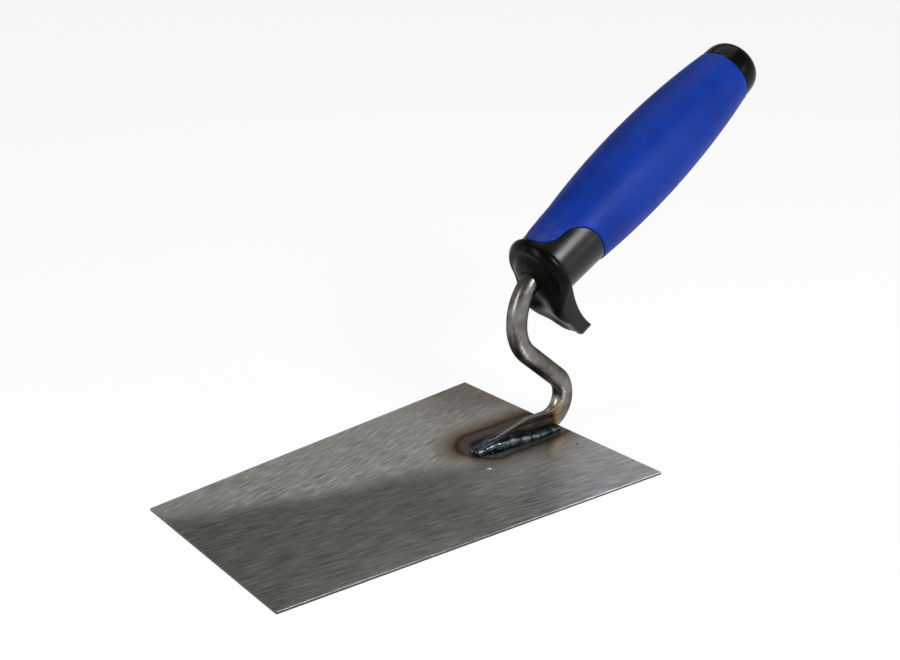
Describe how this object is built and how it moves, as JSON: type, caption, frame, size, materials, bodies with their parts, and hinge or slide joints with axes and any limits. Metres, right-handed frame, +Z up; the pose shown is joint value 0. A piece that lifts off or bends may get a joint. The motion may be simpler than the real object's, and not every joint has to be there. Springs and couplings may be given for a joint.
{
  "type": "brick trowel",
  "caption": "Masonry trowel with a flat trapezoid steel blade, a cranked round neck welded on top, and a tilted two-material handle with a thumb tongue and a hooked finger guard.",
  "frame": {"origin": "middle of the blade's flat underside", "axes": "+Z up from the blade's working face, +X from the blade's front edge towards the handle, Y across the blade"},
  "size_m": [0.2668, 0.114, 0.1467],
  "materials": {
    "ground_steel": "ground along its length, with heat tint round the foot",
    "rod_steel": "satin drawn bar, browned by heat at the heel",
    "weld_steel": "blue-black weld scale, shiny",
    "guard_polymer": "moulded black, satin",
    "core_polymer": "finely textured black",
    "blue_elastomer": "matte blue soft grip",
    "cap_polymer": "smooth glossy black"
  },
  "bodies": {
    "root": {"blade": "ground_steel", "neck": "rod_steel", "weld_bead_left": "weld_steel", "weld_bead_right": "weld_steel", "guard": "guard_polymer", "handle_core": "core_polymer", "grip_sleeve": "blue_elastomer", "end_cap": "cap_polymer"}
  },
  "joints": []
}
